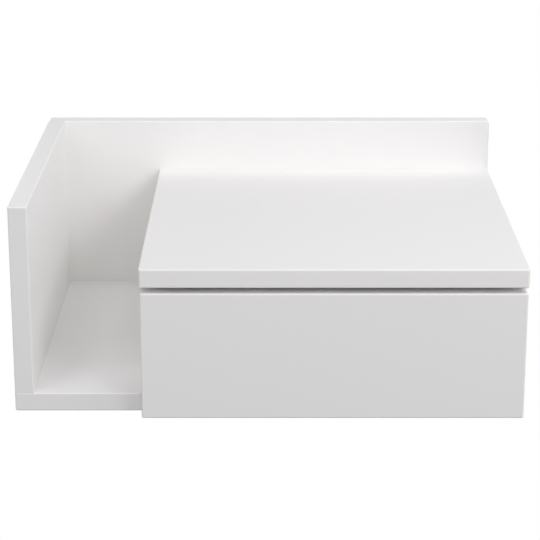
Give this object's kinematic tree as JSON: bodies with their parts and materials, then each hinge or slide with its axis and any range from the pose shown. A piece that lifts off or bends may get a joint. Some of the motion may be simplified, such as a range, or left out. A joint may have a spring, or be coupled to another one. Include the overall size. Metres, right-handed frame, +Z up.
{
  "type": "floating nightstand",
  "caption": "Wall-hung bedside cabinet with a tall back, an open compartment at the left and a drawer on ball-bearing runners under a lower top board.",
  "frame": {"origin": "middle of the back panel's rear face, which lies on the wall", "axes": "+X to the viewer's right along the wall, +Y back into the wall, +Z up; the drawer opens towards -Y"},
  "size_m": [0.4, 0.32, 0.167],
  "materials": {
    "lacquer": "satin white lacquer on fibreboard",
    "drawer_box": "white laminate on chipboard",
    "hardboard": "white-faced hardboard",
    "zinc_steel": "bright zinc-plated sheet steel",
    "cast_zinc": "raw zinc casting",
    "screw_steel": "zinc-plated screw steel",
    "soft_pad": "clear soft plastic pad"
  },
  "bodies": {
    "cabinet": {"back_panel": "lacquer", "bottom_board": "lacquer", "left_side_panel": "lacquer", "divider_panel": "lacquer", "right_side_panel": "lacquer", "top_board": "lacquer", "left_runner_case_member": "zinc_steel", "right_runner_case_member": "zinc_steel", "left_runner_case_front_screw": "screw_steel", "left_runner_case_rear_screw": "screw_steel", "right_runner_case_front_screw": "screw_steel", "right_runner_case_rear_screw": "screw_steel", "divider_front_cam": "cast_zinc", "divider_rear_cam": "cast_zinc", "right_side_front_cam": "cast_zinc", "right_side_rear_cam": "cast_zinc", "divider_front_cam_bolt": "screw_steel", "divider_rear_cam_bolt": "screw_steel", "right_side_front_cam_bolt": "screw_steel", "right_side_rear_cam_bolt": "screw_steel", "bottom_to_left_side_front_screw": "screw_steel", "bottom_to_left_side_rear_screw": "screw_steel", "bottom_to_divider_front_screw": "screw_steel", "bottom_to_divider_rear_screw": "screw_steel", "bottom_to_right_side_front_screw": "screw_steel", "bottom_to_right_side_rear_screw": "screw_steel", "back_to_left_side_low_screw": "screw_steel", "back_to_left_side_high_screw": "screw_steel", "back_to_bottom_left_screw": "screw_steel", "back_to_bottom_middle_screw": "screw_steel", "back_to_bottom_right_screw": "screw_steel", "back_to_top_left_screw": "screw_steel", "back_to_top_right_screw": "screw_steel", "back_to_divider_screw": "screw_steel", "back_to_right_side_screw": "screw_steel", "left_hanger": "zinc_steel", "right_hanger": "zinc_steel", "left_hanger_upper_screw": "screw_steel", "left_hanger_lower_screw": "screw_steel", "right_hanger_upper_screw": "screw_steel", "right_hanger_lower_screw": "screw_steel"},
    "drawer": {"drawer_front": "lacquer", "drawer_left_side": "drawer_box", "drawer_right_side": "drawer_box", "drawer_inner_front": "drawer_box", "drawer_back": "drawer_box", "drawer_floor": "hardboard", "drawer_front_left_screw": "screw_steel", "drawer_front_right_screw": "screw_steel", "left_bumper": "soft_pad", "right_bumper": "soft_pad", "left_runner_drawer_member": "zinc_steel", "right_runner_drawer_member": "zinc_steel", "left_runner_drawer_front_screw": "screw_steel", "left_runner_drawer_rear_screw": "screw_steel", "right_runner_drawer_front_screw": "screw_steel", "right_runner_drawer_rear_screw": "screw_steel"},
    "left_ball_cage": {"left_runner_ball_cage": "zinc_steel"},
    "right_ball_cage": {"right_runner_ball_cage": "zinc_steel"}
  },
  "joints": [
    {"name": "drawer_slide", "type": "slide", "parent": "cabinet", "child": "drawer", "axis": [0, -1, 0], "range_m": [0, 0.18]},
    {"name": "left_cage_slide", "type": "slide", "parent": "cabinet", "child": "left_ball_cage", "axis": [0, -1, 0], "range_m": [0, 0.09]},
    {"name": "right_cage_slide", "type": "slide", "parent": "cabinet", "child": "right_ball_cage", "axis": [0, -1, 0], "range_m": [0, 0.09]}
  ],
  "couplings": [
    {"joint": "left_cage_slide", "follows": "drawer_slide", "ratio": 0.5},
    {"joint": "right_cage_slide", "follows": "drawer_slide", "ratio": 0.5}
  ]
}
